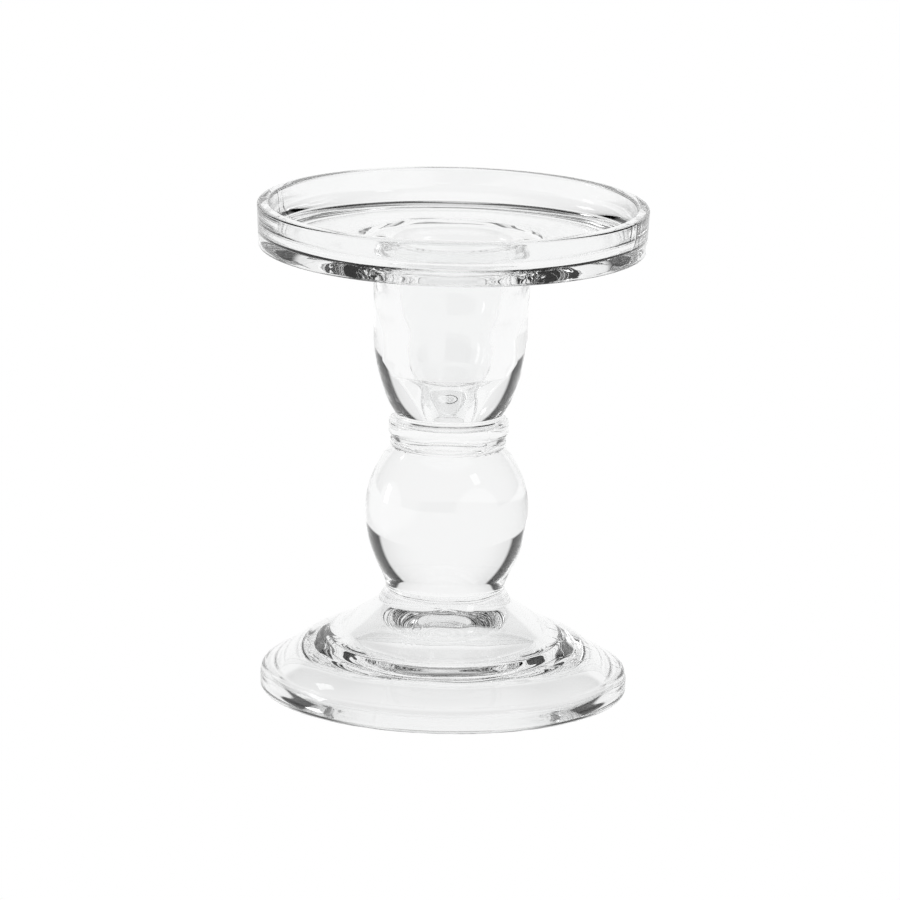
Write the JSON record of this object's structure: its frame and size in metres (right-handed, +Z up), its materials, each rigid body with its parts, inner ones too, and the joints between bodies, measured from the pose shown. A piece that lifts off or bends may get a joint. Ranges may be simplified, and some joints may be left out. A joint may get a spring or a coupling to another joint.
{
  "type": "candlestick",
  "caption": "Clear glass candlestick with a rimmed pan for a pillar candle, a tapered socket for a dinner candle, a solid ball stem and a domed hollow foot.",
  "frame": {"origin": "centre of the ring that the foot stands on, at table level", "axes": "+Z up along the axis that every piece is turned about; +X and +Y are free round that axis"},
  "size_m": [0.1, 0.1, 0.127],
  "materials": {
    "clear_glass": "fire-polished clear soda-lime glass with faint pressing waves"
  },
  "bodies": {
    "root": {"domed_foot": "clear_glass", "lower_merese": "clear_glass", "ball_knop": "clear_glass", "upper_merese": "clear_glass", "candle_cup": "clear_glass", "drip_pan": "clear_glass"}
  },
  "joints": []
}
